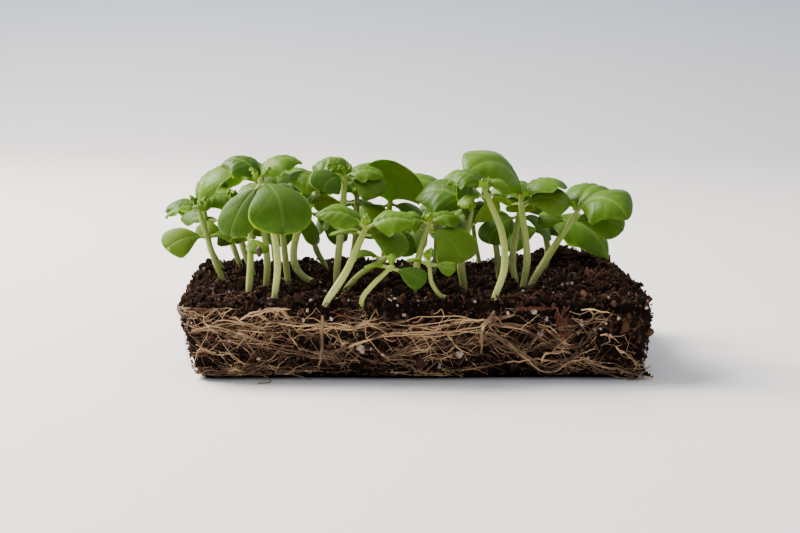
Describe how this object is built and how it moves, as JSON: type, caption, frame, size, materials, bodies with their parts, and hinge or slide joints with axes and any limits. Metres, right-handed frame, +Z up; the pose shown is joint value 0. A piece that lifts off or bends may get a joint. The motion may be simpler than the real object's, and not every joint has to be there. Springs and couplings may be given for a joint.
{
  "type": "basil microgreens block",
  "caption": "Rectangular block of root-bound dark soil, out of its tray, with young basil seedlings standing on it in a low leafy canopy.",
  "frame": {"origin": "middle of the flat underside of the soil block", "axes": "+X along the block's long side, +Z up, -Y is the front face"},
  "size_m": [0.1309, 0.0879, 0.0572],
  "materials": {
    "soil": "matt, crumbly peat soil",
    "roots": "matt, fibrous",
    "stems": "satin, slightly see-through stem",
    "leaves": "satin, waxy leaf"
  },
  "bodies": {
    "root": {"soil_block": "soil", "root_mat": "roots", "stem_01": "stems", "leaves_01": "leaves", "stem_02": "stems", "leaves_02": "leaves", "stem_03": "stems", "leaves_03": "leaves", "stem_04": "stems", "leaves_04": "leaves", "stem_05": "stems", "leaves_05": "leaves", "stem_06": "stems", "leaves_06": "leaves", "stem_07": "stems", "leaves_07": "leaves", "stem_08": "stems", "leaves_08": "leaves", "stem_09": "stems", "leaves_09": "leaves", "stem_10": "stems", "leaves_10": "leaves", "stem_11": "stems", "leaves_11": "leaves", "stem_12": "stems", "leaves_12": "leaves", "stem_13": "stems", "leaves_13": "leaves", "stem_14": "stems", "leaves_14": "leaves", "stem_15": "stems", "leaves_15": "leaves", "stem_16": "stems", "leaves_16": "leaves", "stem_17": "stems", "leaves_17": "leaves", "stem_18": "stems", "leaves_18": "leaves", "stem_19": "stems", "leaves_19": "leaves", "stem_20": "stems", "leaves_20": "leaves", "stem_21": "stems", "leaves_21": "leaves", "stem_22": "stems", "leaves_22": "leaves", "stem_23": "stems", "leaves_23": "leaves", "stem_24": "stems", "leaves_24": "leaves", "stem_25": "stems", "leaves_25": "leaves", "stem_26": "stems", "leaves_26": "leaves", "stem_27": "stems", "leaves_27": "leaves", "stem_28": "stems", "leaves_28": "leaves", "stem_29": "stems", "leaves_29": "leaves"}
  },
  "joints": []
}
